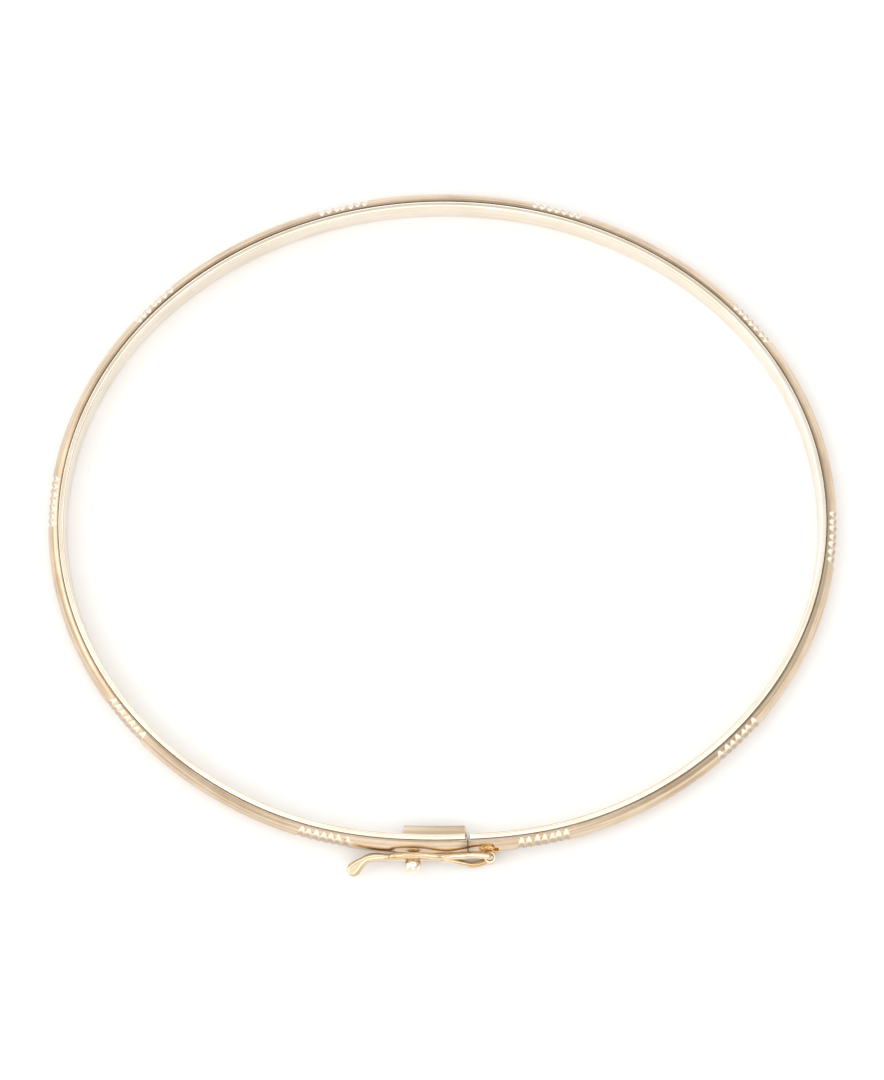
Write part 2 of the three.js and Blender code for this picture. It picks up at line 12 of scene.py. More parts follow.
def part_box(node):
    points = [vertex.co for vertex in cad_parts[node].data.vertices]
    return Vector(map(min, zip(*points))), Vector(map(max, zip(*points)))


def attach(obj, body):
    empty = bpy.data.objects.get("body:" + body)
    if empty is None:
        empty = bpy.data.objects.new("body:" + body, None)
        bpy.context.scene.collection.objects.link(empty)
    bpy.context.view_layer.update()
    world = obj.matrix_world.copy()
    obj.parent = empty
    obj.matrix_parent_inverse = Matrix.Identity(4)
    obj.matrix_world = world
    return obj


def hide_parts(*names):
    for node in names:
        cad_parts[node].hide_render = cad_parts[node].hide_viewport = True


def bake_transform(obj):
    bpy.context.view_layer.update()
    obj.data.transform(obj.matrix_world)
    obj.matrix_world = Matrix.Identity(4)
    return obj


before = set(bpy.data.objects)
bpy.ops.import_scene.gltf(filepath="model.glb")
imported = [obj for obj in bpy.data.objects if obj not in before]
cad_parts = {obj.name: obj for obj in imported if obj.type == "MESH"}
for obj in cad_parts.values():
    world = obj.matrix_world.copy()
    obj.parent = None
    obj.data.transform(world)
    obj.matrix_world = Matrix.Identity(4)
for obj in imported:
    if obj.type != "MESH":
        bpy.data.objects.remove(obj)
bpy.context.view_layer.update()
MM = 0.001

# ---------------------------------------------------------------- sizes of the real thing

INNER_LENGTH = 60.27
INNER_DEPTH = 51.28
HALF_X = INNER_LENGTH / 2
HALF_Y = INNER_DEPTH / 2
CLASP_FLAT = 0.5
CLASP_FLAT_SPREAD = 9.0
TUBE_WIDTH = 3.0
TUBE_DEPTH = 1.4
MID_Z = TUBE_WIDTH / 2
RIM_HEIGHT = 0.46
SHEET = 0.22
DOME_FOOT = 0.5
EDGE_ROUND = 0.16
LIP_ROUND = 0.05
FOOT_ROUND = 0.05

GROUPS = 10
GROUP_SHIFT = -1.46
GROUP_DRIFT = 0.6
CUTS = 7
CUT_PITCH = 0.58
CUT_DEPTH = 0.17
CUT_RADIUS = 0.3
CUT_REACH = 1.42
CUT_SLANT = 0.1
GROUP_SINK = 0.05

MOUTH_AT = 1.63
MOUTH_GAP = 0.08
RIM_GAP = 0.32
MOUTH_ROUND = 0.12

TAB_START = -3.52
TAB_END = 1.58
TAB_HEIGHT = 0.82
TAB_WIDTH = 1.1
TAB_SLOPE = 0.1
TAB_ROUND = 0.16

BALL = 1.34
BALL_AT = -2.59
BALL_OFF = 0.93
POST = 0.62

WIRE = 0.5
KNUCKLE_AT = 3.26
KNUCKLE_OFF = 0.5
KNUCKLE_BORE = 0.58
KNUCKLE_RADIUS = 0.45
KNUCKLE_LENGTH = 1.5
LEG_DEPTH = 0.5
HINGE_SPREAD = 1.2
WAIST_AT = -0.1
WAIST_SPREAD = 0.5
LOOP_SPREAD = 1.04
LOOP_OFF = 0.25
LOOP_END_GAP = 0.25
LOOP_END_AT = -5.0
LOOP_END_SPREAD = 0.29
LIFT_START = -5.3
LIFT_SEAM_AT = -4.5
LIFT_THICK = 0.66
LIFT_TIP = 1.08
LIFT_WIDE = 1.05
LIFT_LENGTH = 1.63
LIFT_RISE = 1.18
TWIST_UPPER = 0.17
TWIST_LOWER = 0.38
TWIST_FADE = 1.0
ELBOW = 0.34

# ---------------------------------------------------------------- the ring's line

# Middle of the ring in the row frame, from the CAD's own boxes.
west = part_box("dome_receiver")[0].x / MM
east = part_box("dome_tongue")[1].x / MM
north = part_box("dome_receiver")[1].y / MM
RING_X = (west + east) / 2
RING_Y = north - HALF_Y - TUBE_DEPTH

_angle = np.linspace(-math.pi, math.pi, 40001)
_out = np.stack([HALF_Y * np.sin(_angle), -HALF_X * np.cos(_angle)], 1)
_out /= np.linalg.norm(_out, axis=1)[:, None]
_pressed = CLASP_FLAT * np.exp(-((_angle * HALF_X / CLASP_FLAT_SPREAD) ** 2))
_line = np.stack([HALF_X * np.sin(_angle), -HALF_Y * np.cos(_angle)], 1) - _pressed[:, None] * _out
_length = np.concatenate([[0], np.cumsum(np.linalg.norm(np.diff(_line, axis=0), axis=1))])
GIRTH = _length[-1]
BACK_S = GIRTH / 2
_s = _length - BACK_S
_tangent = np.gradient(_line, _s, axis=0)
_tangent /= np.linalg.norm(_tangent, axis=1)[:, None]


def wrap(s):
    """The same place on the ring, between the back and the back."""
    return (s + BACK_S) % GIRTH - BACK_S


def at(s, r, z):
    """Points of the row frame, in mm, at distance s along the inner face, r outwards and z up."""
    s, r, z = np.broadcast_arrays(np.asarray(s, float), np.asarray(r, float), np.asarray(z, float))
    s = wrap(s)
    x = np.interp(s, _s, _line[:, 0])
    y = np.interp(s, _s, _line[:, 1])
    tx = np.interp(s, _s, _tangent[:, 0])
    ty = np.interp(s, _s, _tangent[:, 1])
    return np.stack([RING_X + x + ty * r, RING_Y + y - tx * r, z], -1)


def smooth(x, low, high):
    t = np.clip((np.asarray(x, float) - low) / (high - low), 0, 1)
    return t * t * (3 - 2 * t)


# ---------------------------------------------------------------- meshes


def make(name, points, faces, material, body=None, replaces=(), lane=None, sharp=38, marks=None):
    """A closed piece from points in mm. Its streaks follow lane: one or two values along and one across,
    per point. marks holds three shares per point, for the places that its material paints differently."""
    points = np.asarray(points, float).reshape(-1, 3)
    mesh = bpy.data.meshes.new(name)
    mesh.from_pydata((points * MM).tolist(), [], faces)
    mesh.validate()
    work = bmesh.new()
    work.from_mesh(mesh)
    if work.calc_volume(signed=True) < 0:
        bmesh.ops.reverse_faces(work, faces=work.faces)
    work.to_mesh(mesh)
    work.free()
    if lane is None:
        lane = points[:, [0, 2]]
    attribute = mesh.attributes.new("lane", "FLOAT_VECTOR", "POINT")
    flat = np.zeros((len(points), 3), np.float32)
    lane = np.asarray(lane, float).reshape(len(points), -1)
    flat[:, 0] = lane[:, 0]
    flat[:, 1] = lane[:, 1] if lane.shape[1] == 3 else 0
    flat[:, 2] = lane[:, -1]
    attribute.data.foreach_set("vector", flat.ravel())
    if marks is not None:
        attribute = mesh.attributes.new("marks", "FLOAT_VECTOR", "POINT")
        attribute.data.foreach_set("vector", np.asarray(marks, np.float32).ravel())
    mesh.shade_smooth()
    mesh.set_sharp_from_angle(angle=math.radians(sharp))
    mesh.materials.append(material)
    piece = bpy.data.objects.new(name, mesh)
    bpy.context.scene.collection.objects.link(piece)
    if replaces:
        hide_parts(*replaces)
    if body:
        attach(piece, body)
    return piece


def loft_faces(stations, points):
    """Faces of a closed section with that many points, carried through that many stations."""
    faces = []
    for j in range(stations - 1):
        a = j * points
        b = a + points
        for i in range(points):
            k = (i + 1) % points
            faces.append((a + i, a + k, b + k, b + i))
    faces.append(tuple(range(points))[::-1])
    last = (stations - 1) * points
    faces.append(tuple(range(last, last + points)))
    return faces


def around(points):
    """Distance along a run of 2-D points."""
    steps = np.linalg.norm(np.diff(points, axis=0), axis=1)
    return np.concatenate([[0], np.cumsum(steps)])


def ring_lane(points, section):
    """Lanes of a strip of the ring: the place itself along the ring, which has no seam, and the distance
    round the section across it."""
    across = np.broadcast_to(around(section)[None, :, None], (*points.shape[:2], 1))
    return np.concatenate([points[..., :2], across], -1)


# ---------------------------------------------------------------- materials


def node(tree, kind, **values):
    made = tree.nodes.new(kind)
    for key, value in values.items():
        if key in made.inputs.keys():
            made.inputs[key].default_value = value
        else:
            setattr(made, key, value)
    return made


def ramp(tree, source, stops):
    made = tree.nodes.new("ShaderNodeValToRGB")
    elements = made.color_ramp.elements
    while len(elements) < len(stops):
        elements.new(0.5)
    for element, (place, colour) in zip(elements, stops):
        element.position = place
        element.color = colour
    tree.links.new(source, made.inputs[0])
    return made.outputs[0]


def grey(v):
    return (v, v, v, 1)


def blend(tree, share, first, second):
    made = node(tree, "ShaderNodeMix", data_type="RGBA")
    for place, value in ((0, share), (6, first), (7, second)):
        if isinstance(value, (tuple, float)):
            made.inputs[place].default_value = value
        else:
            tree.links.new(value, made.inputs[place])
    return made.outputs[2]


def gold(
    name, pale, deep, gloss, streak=0.05, dents=0.04, on_lane=True, wear=0.0, spot=360.0, marked=False
):
    """Polished gold. Fine streaks follow the piece's lane; soft dents and a warmer tone vary it. gloss is
    its lowest and highest roughness. A marked piece has shares of painted shade, of painted highlight and of
    deeper painted shade at each point."""
    material = bpy.data.materials.new(name)
    material.use_nodes = True
    tree = material.node_tree
    link = tree.links.new
    shader = tree.nodes["Principled BSDF"]
    shader.inputs["Metallic"].default_value = 1.0
    shader.inputs["Specular IOR Level"].default_value = 0.5
    place = node(tree, "ShaderNodeTexCoord").outputs["Object"]
    if on_lane:
        source = node(tree, "ShaderNodeAttribute", attribute_name="lane").outputs["Vector"]
        scale = STREAKS
    else:
        source = place
        scale = PLAIN_STREAKS
    lanes = node(tree, "ShaderNodeMapping")
    lanes.inputs["Scale"].default_value = scale
    link(source, lanes.inputs["Vector"])
    fine = node(tree, "ShaderNodeTexNoise", Scale=1.0, Detail=6.0, Roughness=0.65)
    link(lanes.outputs[0], fine.inputs["Vector"])
    soft = node(tree, "ShaderNodeTexNoise", Scale=spot, Detail=3.0, Roughness=0.55)
    link(place, soft.inputs["Vector"])

    mixed = node(tree, "ShaderNodeMix", data_type="FLOAT")
    mixed.inputs[0].default_value = SOFT_SHARE
    link(fine.outputs[0], mixed.inputs[2])
    link(soft.outputs[0], mixed.inputs[3])
    tone = ramp(tree, mixed.outputs[0], [(0.4, (*deep, 1)), (0.56, (*pale, 1))])
    rough = ramp(tree, mixed.outputs[0], [(0.3, grey(gloss[1])), (0.68, grey(gloss[0]))])
    # marks paint shade into the cuts' middles and the tab's foot, a highlight onto the cuts' ends and a
    # deeper shade into the seam and the mouth
    if marked:
        shares = node(tree, "ShaderNodeSeparateXYZ")
        link(node(tree, "ShaderNodeAttribute", attribute_name="marks").outputs["Vector"], shares.inputs[0])
        tone = blend(tree, shares.outputs["X"], tone, MID_SHADE_TONE)
        tone = blend(tree, shares.outputs["Y"], tone, HIGHLIGHT_TONE)
        rough = blend(tree, shares.outputs["Y"], rough, grey(CUT_GLOSS))
        tone = blend(tree, shares.outputs["Z"], tone, DEEP_SHADE_TONE)
    link(tone, shader.inputs["Base Color"])
    link(rough, shader.inputs["Roughness"])

    first = node(tree, "ShaderNodeBump", Strength=streak, Distance=STREAK_HEIGHT)
    link(fine.outputs[0], first.inputs["Height"])
    second = node(tree, "ShaderNodeBump", Strength=dents, Distance=DENT_HEIGHT)
    link(soft.outputs[0], second.inputs["Height"])
    link(first.outputs[0], second.inputs["Normal"])
    last = second
    if wear:
        grain = node(tree, "ShaderNodeTexNoise", Scale=9000.0, Detail=2.0, Roughness=0.6)
        link(place, grain.inputs["Vector"])
        last = node(tree, "ShaderNodeBump", Strength=wear, Distance=GRAIN_HEIGHT)
        link(grain.outputs[0], last.inputs["Height"])
        link(second.outputs[0], last.inputs["Normal"])
    link(last.outputs[0], shader.inputs["Normal"])
    return material


# Noise scales: streaks per mm of lane, streaks per metre for a piece without a lane; bump heights in metres.
STREAKS = (0.08, 0.08, 5.5)
PLAIN_STREAKS = (350.0, 5000.0, 5000.0)
SOFT_SHARE = 0.25
STREAK_HEIGHT = 0.04 * MM
DENT_HEIGHT = 0.4 * MM
GRAIN_HEIGHT = 0.03 * MM

DOME_PALE = (0.74, 0.6, 0.45)
DOME_DEEP = (0.5, 0.37, 0.24)
# painted colours: a highlight for the cuts' ends, a shade for the cuts' middles and the tab's foot, and a
# deeper shade for the seam at the dome's foot and the mouth
HIGHLIGHT_TONE = (0.9, 0.81, 0.68, 1)
MID_SHADE_TONE = (0.36, 0.26, 0.16, 1)
CUT_GLOSS = 0.05
DEEP_SHADE_TONE = (0.05, 0.025, 0.012, 1)

dome_gold = gold("dome_gold", DOME_PALE, DOME_DEEP, (0.12, 0.28), streak=0.12, dents=0.05, marked=True)
# the channel's gold is paler than the dome's: a painted highlight on the rim
rim_gold = gold("rim_gold", (0.91, 0.83, 0.72), (0.8, 0.69, 0.54), (0.07, 0.16), dents=0.03)
wire_gold = gold("wire_gold", (0.86, 0.74, 0.58), (0.6, 0.41, 0.21), (0.08, 0.17), streak=0.08, dents=0.08)
tab_gold = gold(
    "tab_gold", (0.7, 0.59, 0.46), (0.54, 0.43, 0.31), (0.24, 0.36),
    streak=0.14, dents=0.06, wear=0.1, marked=True,
)
ball_gold = gold(
    "ball_gold", (0.93, 0.84, 0.7), (0.8, 0.65, 0.45), (0.06, 0.14), streak=0.02, dents=0.05, on_lane=False
)
solder_gold = gold(
    "solder_gold", (0.85, 0.56, 0.24), (0.3, 0.14, 0.035), (0.2, 0.4),
    streak=0.2, dents=0.4, on_lane=False, wear=0.5, spot=2400.0,
)
plate_gold = gold("plate_gold", (0.4, 0.27, 0.14), (0.22, 0.13, 0.06), (0.3, 0.45), on_lane=False, wear=0.2)
tongue_gold = gold(
    "tongue_gold", (0.8, 0.66, 0.48), (0.58, 0.42, 0.26), (0.16, 0.3), on_lane=False, wear=0.15
)

# ---------------------------------------------------------------- the tube

DOME_RISE = TUBE_DEPTH - DOME_FOOT
DOME_RADIUS = (MID_Z**2 + DOME_RISE**2) / (2 * DOME_RISE)
DOME_CENTRE = TUBE_DEPTH - DOME_RADIUS
GROUP_HALF = CUT_PITCH * CUTS / 2
DRIFT_PHASE = 11.7
# how much painted shade darkens the middle of each cut
CUT_SHADE_SHARE = 0.5
# how much painted shade darkens the seam at the dome's foot
SEAM_SHADE_SHARE = 0.75
CUT_NEAR = 0.7  # a cut touches nothing further along the ring than this


def group_middle(k):
    even = GROUP_SHIFT + (GIRTH / GROUPS) * (k + 0.5) - BACK_S
    return even + GROUP_DRIFT * math.cos(4 * math.pi * (even + DRIFT_PHASE) / GIRTH)


middles = [group_middle(k) for k in range(GROUPS)]
both_turns = middles + [middle + GIRTH for middle in middles]
hand = np.random.RandomState(11)
cuts = []
for middle in middles:
    for i in range(CUTS):
        wobble = hand.uniform(-1, 1, 4)
        cuts.append(
            {
                "s": middle + (i - (CUTS - 1) / 2) * CUT_PITCH + 0.03 * wobble[0],
                "depth": CUT_DEPTH + 0.012 * wobble[1],
                "reach": CUT_REACH + 0.05 * wobble[2],
                "slant": CUT_SLANT + 0.06 * wobble[3],
            }
        )


def dome_r(off, radius=DOME_RADIUS):
    return DOME_CENTRE + np.sqrt(np.maximum(radius**2 - off**2, 0))


def cut_surface(s, off):
    """Outer surface of the dome, as r, at places s (a column) and distances off the middle plane (a row)."""
    s = wrap(s)
    surface = np.broadcast_to(dome_r(off), (s.shape[0], off.shape[1])).copy()
    for middle in middles:
        planed = np.where(np.abs(s - middle) < GROUP_HALF, TUBE_DEPTH - GROUP_SINK, TUBE_DEPTH)
        surface = np.minimum(surface, planed)
    for cut in cuts:
        rows = np.abs(s[:, 0] - cut["s"]) < CUT_NEAR
        if not rows.any():
            continue
        # a cut is deepest on the shoulder and runs out to a point at the foot
        share = np.minimum(np.abs(off) / cut["reach"], 1)
        floor = dome_r(off) - cut["depth"] * (1 - share**2) * (0.55 + 1.2 * share)
        across = s[rows] - cut["s"] - cut["slant"] * off
        wall = CUT_RADIUS - np.sqrt(np.maximum(CUT_RADIUS**2 - across**2, 0))
        wall = np.where(np.abs(across) < CUT_RADIUS, wall, 9.0)
        surface[rows] = np.minimum(surface[rows], floor + wall)
    return surface, np.clip((dome_r(off) - surface) / 0.03, 0, 1)


def dome_marks(off, surface, cut_share):
    """Shares of painted shade in the cut, of painted highlight on the cut's ends and of painted shade in the
    seam at the dome's foot, for the outer surface.
    """
    # the cut's ends get a painted highlight, the rest of the cut painted shade
    bright = cut_share * smooth(np.abs(off), 0.7, 0.95)
    # painted shade in the crease at the dome's foot
    seam = SEAM_SHADE_SHARE * (1 - smooth(surface, DOME_FOOT + 0.03, DOME_FOOT + 0.11))
    return np.stack([cut_share * (1 - bright) * CUT_SHADE_SHARE, bright, seam], -1)


def stations(low, high, fine=0.035, coarse=0.8):
    """Places along the ring: fine steps in the cut groups, coarse ones between them."""
    marks = [low]
    for middle in sorted(both_turns):
        for edge in (middle - GROUP_HALF - 0.15, middle + GROUP_HALF + 0.15):
            if low < edge < high:
                marks.append(edge)
    marks.append(high)
    places = []
    for a, b in zip(marks, marks[1:]):
        mid = (a + b) / 2
        dense = any(abs(mid - m) < GROUP_HALF + 0.15 for m in both_turns)
        count = max(1, math.ceil((b - a) / (fine if dense else coarse)))
        places.extend(np.linspace(a, b, count, endpoint=False))
    places.append(high)
    return np.array(places)


DOME_POINTS = 45
MOUTH_EDGE = 0.075
MOUTH_LOOK_GAP = 0.016
INSIDE_POINTS = 13


def dome_piece(name, low, high, body, replaces):
    s = stations(low, high)
    at_mouth = np.abs(s[[0, -1]] - MOUTH_AT) < MOUTH_GAP
    # a row close to each end keeps the painted shade at the mouth's edge narrow
    s = np.sort(np.concatenate([s, [low + MOUTH_EDGE, high - MOUTH_EDGE]]))[:, None]
    reach = math.acos((DOME_FOOT - DOME_CENTRE) / DOME_RADIUS)
    angle = np.linspace(-reach, reach, DOME_POINTS)
    off = DOME_RADIUS * np.sin(angle)[None, :]
    outer, cut_share = cut_surface(s, off)
    marks = dome_marks(off, outer, cut_share)
    # the dome's ends at the mouth get painted shade, the rows beside them a little
    for end, beside, dark in zip((0, -1), (1, -2), at_mouth):
        if dark:
            marks[end, :, 2] = 1
            marks[beside, :, 2] = 0.35
    # the foot's edge is rolled in a little where it meets the channel
    rolled = FOOT_ROUND * (1 - np.array([0.0, 0.3, 0.7, 1.0]))
    off = np.repeat(off, len(s), 0)
    off[:, :4] += rolled * 0.8
    off[:, -4:] -= rolled[::-1] * 0.8
    inner_radius = DOME_RADIUS - SHEET
    inner_reach = math.acos((DOME_FOOT - DOME_CENTRE) / inner_radius)
    inner_angle = np.linspace(inner_reach, -inner_reach, INSIDE_POINTS)
    inner_off = np.repeat(inner_radius * np.sin(inner_angle)[None, :], len(s), 0)
    inner = np.repeat((DOME_CENTRE + inner_radius * np.cos(inner_angle))[None, :], len(s), 0)
    r = np.concatenate([outer, inner], 1)
    z = MID_Z + np.concatenate([off, inner_off], 1)
    points = at(s, r, z)
    lane = ring_lane(points, np.stack([r[0], z[0]], 1))
    faces = loft_faces(len(s), r.shape[1])
    marks = np.concatenate([marks, np.zeros((*inner.shape, 3))], 1)
    return make(name, points, faces, dome_gold, body, replaces, lane, 60, marks)


def arc(centre_r, centre_z, radius, first, last, count):
    angle = np.radians(np.linspace(first, last, count))
    return np.stack([centre_r + radius * np.cos(angle), centre_z + radius * np.sin(angle)], 1)


def channel_section():
    e, lip, top = EDGE_ROUND, LIP_ROUND, TUBE_WIDTH
    crown = 0.02  # the inner face is very slightly hollow
    face = np.linspace(top - e, e, 9)[1:-1]
    hollow = crown * (1 - ((face - MID_Z) / (MID_Z - e)) ** 2)
    return np.concatenate(
        [
            [[RIM_HEIGHT, top - SHEET]],
            arc(RIM_HEIGHT - lip, top - lip, lip, 0, 90, 4),
            [[0.34, top], [0.22, top]],
            arc(e, top - e, e, 90, 180, 8),
            np.stack([hollow, face], 1),
            arc(e, e, e, 180, 270, 8),
            [[0.22, 0], [0.34, 0]],
            arc(RIM_HEIGHT - lip, lip, lip, 270, 360, 4),
            [[RIM_HEIGHT, SHEET], [SHEET, SHEET], [SHEET, top - SHEET]],
        ]
    )


def channel_piece(name, low, high, body, replaces, mouth=0):
    """mouth is 1 if the high end faces the mouth, -1 if the low end does."""
    s = stations(low, high, fine=0.5, coarse=0.8)
    section = channel_section()
    pull = np.zeros((len(s), 1))
    if mouth:
        # near the mouth the rim's corners are rounded off
        steps = MOUTH_ROUND * (1 - np.cos(np.linspace(0, math.pi / 2, 6)))
        edge = high if mouth > 0 else low
        extra = edge - mouth * steps
        inner = s[np.abs(s - edge) > MOUTH_ROUND * 1.5]
        s = np.sort(np.concatenate([inner, extra]))
        away = np.clip(1 - np.abs(s - edge) / MOUTH_ROUND, 0, 1)
        pull = (MOUTH_ROUND * (1 - np.sqrt(1 - away**2)))[:, None]
    r = np.repeat(section[:, 0][None, :], len(s), 0)
    z = np.repeat(section[:, 1][None, :], len(s), 0)
    # only what lies outermost is pulled in, towards the middle of the wall
    r = np.maximum(r, np.minimum(pull, SHEET * 0.9))
    z = np.clip(z, pull * 0.9, TUBE_WIDTH - pull * 0.9)
    points = at(s[:, None], r, z)
    lane = ring_lane(points, section)
    faces = loft_faces(len(s), len(section))
    return make(name, points, faces, rim_gold, body, replaces, lane)


# The tube is one springy piece that bends as it opens; its back half is one piece here, on no body. The three
# stretches meet at the bottom of a cut, where no joint shows.
LEFT_JOIN = cuts[1 * CUTS + 3]["s"]
RIGHT_JOIN = cuts[8 * CUTS + 3]["s"]

dome_piece("dome_left", LEFT_JOIN, MOUTH_AT - MOUTH_LOOK_GAP / 2, "receiver_half", ["dome_receiver"])
dome_piece("dome_right", MOUTH_AT + MOUTH_LOOK_GAP / 2, RIGHT_JOIN, "tongue_half", ["dome_tongue"])
channel_piece("channel_left", LEFT_JOIN, MOUTH_AT - RIM_GAP / 2, "receiver_half", ["channel_receiver"], 1)
channel_piece("channel_right", MOUTH_AT + RIM_GAP / 2, RIGHT_JOIN, "tongue_half", ["channel_tongue"], -1)
dome_back = dome_piece("dome_back", RIGHT_JOIN, LEFT_JOIN + GIRTH, None, ["dome_receiver", "dome_tongue"])
channel_back = channel_piece(
    "channel_back", RIGHT_JOIN, LEFT_JOIN + GIRTH, None, ["channel_receiver", "channel_tongue"]
)
for piece in (dome_back, channel_back):
    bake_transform(piece)

# ---------------------------------------------------------------- bars and turned pieces


def through(knots, steps):
    """A smooth line through points: a centripetal Catmull-Rom curve, evenly spaced."""
    knots = np.asarray(knots, float)
    ends = np.concatenate([[2 * knots[0] - knots[1]], knots, [2 * knots[-1] - knots[-2]]])
    line = []
    for i in range(1, len(ends) - 2):
        p = ends[i - 1 : i + 3]
        t = np.concatenate([[0], np.cumsum(np.sqrt(np.linalg.norm(np.diff(p, axis=0), axis=1)))])
        for u in np.linspace(t[1], t[2], 24, endpoint=False):
            a = [
                (t[j + 1] - u) / (t[j + 1] - t[j]) * p[j] + (u - t[j]) / (t[j + 1] - t[j]) * p[j + 1]
                for j in range(3)
            ]
            b = [
                (t[j + 2] - u) / (t[j + 2] - t[j]) * a[j] + (u - t[j]) / (t[j + 2] - t[j]) * a[j + 1]
                for j in range(2)
            ]
            line.append((t[2] - u) / (t[2] - t[1]) * b[0] + (u - t[1]) / (t[2] - t[1]) * b[1])
    line.append(knots[-1])
    line = np.array(line)
    length = around(line)
    even = np.linspace(0, length[-1], steps)
    return np.stack([np.interp(even, length, line[:, i]) for i in range(3)], 1)


def frames(line):
    """Two side directions at each point of a line, carried without twist."""
    tangent = np.gradient(line, axis=0)
    tangent /= np.linalg.norm(tangent, axis=1)[:, None]
    side = np.cross(tangent[0], [0.3, 0.5, 0.8])
    side /= np.linalg.norm(side)
    sides = []
    for t in tangent:
        side = side - t * side.dot(t)
        side /= np.linalg.norm(side)
        sides.append(side)
    sides = np.array(sides)
    return sides, np.cross(tangent, sides)


def bar_piece(name, line, radii, sides, material, body, replaces):
    one, two = frames(line)
    angle = np.linspace(0, 2 * math.pi, sides, endpoint=False)
    ring = np.cos(angle)[None, :, None] * one[:, None, :] + np.sin(angle)[None, :, None] * two[:, None, :]
    points = line[:, None, :] + ring * np.asarray(radii)[:, None, None]
    lane = np.stack(np.broadcast_arrays(around(line)[:, None], (angle * radii[len(radii) // 2])[None, :]), -1)
    return make(name, points, loft_faces(len(line), sides), material, body, replaces, lane, sharp=50)


def turned_piece(name, profile, centre, axis, sides, material, body, replaces=()):
    """A closed profile of [radius, height] points turned about an axis through a centre, all in mm."""
    axis = np.asarray(axis, float) / np.linalg.norm(axis)
    one = np.cross(axis, [0.31, 0.22, 0.93])
    one /= np.linalg.norm(one)
    two = np.cross(axis, one)
    profile = np.asarray(profile, float)
    closed = profile[0, 0] > 1e-6 or profile[-1, 0] > 1e-6
    angle = np.linspace(0, 2 * math.pi, sides, endpoint=False)
    ring = np.cos(angle)[:, None] * one + np.sin(angle)[:, None] * two
    points = []
    faces = []
    index = []
    for radius, height in profile:
        if radius < 1e-6:
            index.append([len(points)] * sides)
            points.append(centre + axis * height)
        else:
            index.append(list(range(len(points), len(points) + sides)))
            points.extend(centre + axis * height + ring * radius)
    runs = list(zip(index, index[1:]))
    if closed:
        runs.append((index[-1], index[0]))
    for a, b in runs:
        for i in range(sides):
            k = (i + 1) % sides
            corners = [a[i], a[k], b[k], b[i]]
            unique = [c for n, c in enumerate(corners) if c not in corners[:n]]
            if len(unique) > 2:
                faces.append(tuple(unique))
    return make(name, points, faces, material, body, replaces, sharp=50)


# --- ball stud

ball_centre = at(BALL_AT, TUBE_DEPTH + BALL_OFF, MID_Z)
stud_axis = at(BALL_AT, TUBE_DEPTH + 1, MID_Z) - at(BALL_AT, TUBE_DEPTH, MID_Z)
profile = [(0, BALL / 2)]
for a in np.linspace(0, math.pi - 0.62, 30)[1:]:
    profile.append((BALL / 2 * math.sin(a), BALL / 2 * math.cos(a)))
profile.append((0, profile[-1][1]))
turned_piece(
    "stud_ball_turned", profile, ball_centre, stud_axis, 48, ball_gold,
    "receiver_half", ["stud_ball"],
)
post_top = BALL_OFF - BALL / 2 * 0.86 - 0.02
post_seat = 0.045
post_foot = ((0.1, post_seat), (0.085, 0.08), (0.02, 0.13), (0, 0.2))  # how far it flares, and how high up
foot = at(BALL_AT, TUBE_DEPTH, MID_Z)
profile = [(0, post_seat)] + [(POST / 2 + flare, height) for flare, height in post_foot]
profile += [(POST / 2, post_top), (0, post_top)]
turned_piece(
    "stud_post_turned", profile, foot, stud_axis, 40, ball_gold,
    "receiver_half", ["stud_post"],
)

# --- knuckle tube of the safety hinge

hinge = at(KNUCKLE_AT, TUBE_DEPTH + KNUCKLE_OFF, MID_Z)
bore = KNUCKLE_BORE / 2
half = KNUCKLE_LENGTH / 2
edge = 0.05
profile = []
for radius, height, first in (
    (KNUCKLE_RADIUS, half, 0), (bore, half, 90), (bore, -half, 180), (KNUCKLE_RADIUS, -half, 270),
):
    inward_r = -edge if radius > bore else edge
    inward_h = -edge if height > 0 else edge
    for a in np.radians(np.linspace(first, first + 90, 5)):
        profile.append((radius + inward_r + edge * math.cos(a), height + inward_h + edge * math.sin(a)))
turned_piece(
    "knuckle_turned", profile, hinge, (0, 0, 1), 48, wire_gold,
    "tongue_half", ["knuckle_tube"],
)


def lump(name, centre, size, seed, replaces):
    """A run of solder: a rounded lump with an uneven skin, lying on the dome and along the ring."""
    work = bmesh.new()
    bmesh.ops.create_icosphere(work, subdivisions=5, radius=1.0)
    points = np.array([v.co for v in work.verts])
    faces = [tuple(v.index for v in f.verts) for f in work.faces]
    work.free()
    wave = np.random.RandomState(seed)
    bumps = np.zeros(len(points))
    for _ in range(14):
        direction = wave.normal(size=3)
        direction /= np.linalg.norm(direction)
        bumps += np.sin(points @ direction * wave.uniform(3, 11) + wave.uniform(0, 6)) * 0.022
    shaped = np.sign(points) * np.abs(points) ** 0.8
    shaped /= np.abs(shaped).max(0)
    shaped *= (1 + bumps)[:, None] * 0.94
    s, r, z = centre
    local = shaped * np.array(size) / 2
    height = z + local[:, 2]
    outwards = np.maximum(r + local[:, 1], dome_r(height - MID_Z) - LUMP_SINK)
    place = at(s + local[:, 0], outwards, height)
    return make(name, place, faces, solder_gold, "tongue_half", replaces, sharp=80)


LUMP_SINK = 0.02
# name, centre along the ring, out from the dome and up from the middle, size, seed and what it replaces
for name, (along, out, up), size, seed, node_name in (
    ("saddle_solder_run", (0.42, -0.02, 0), (0.72, 0.34, 1.5), 5, "saddle_solder"),
    ("saddle_run", (-0.1, -0.05, 0), (1.2, 0.5, 2.3), 8, "knuckle_saddle"),
    ("saddle_shoulder", (-0.2, -0.3, 0.75), (1.3, 0.6, 0.95), 5, "knuckle_saddle"),
):
    lump(name, (KNUCKLE_AT + along, TUBE_DEPTH + out, MID_Z + up), size, seed, [node_name])

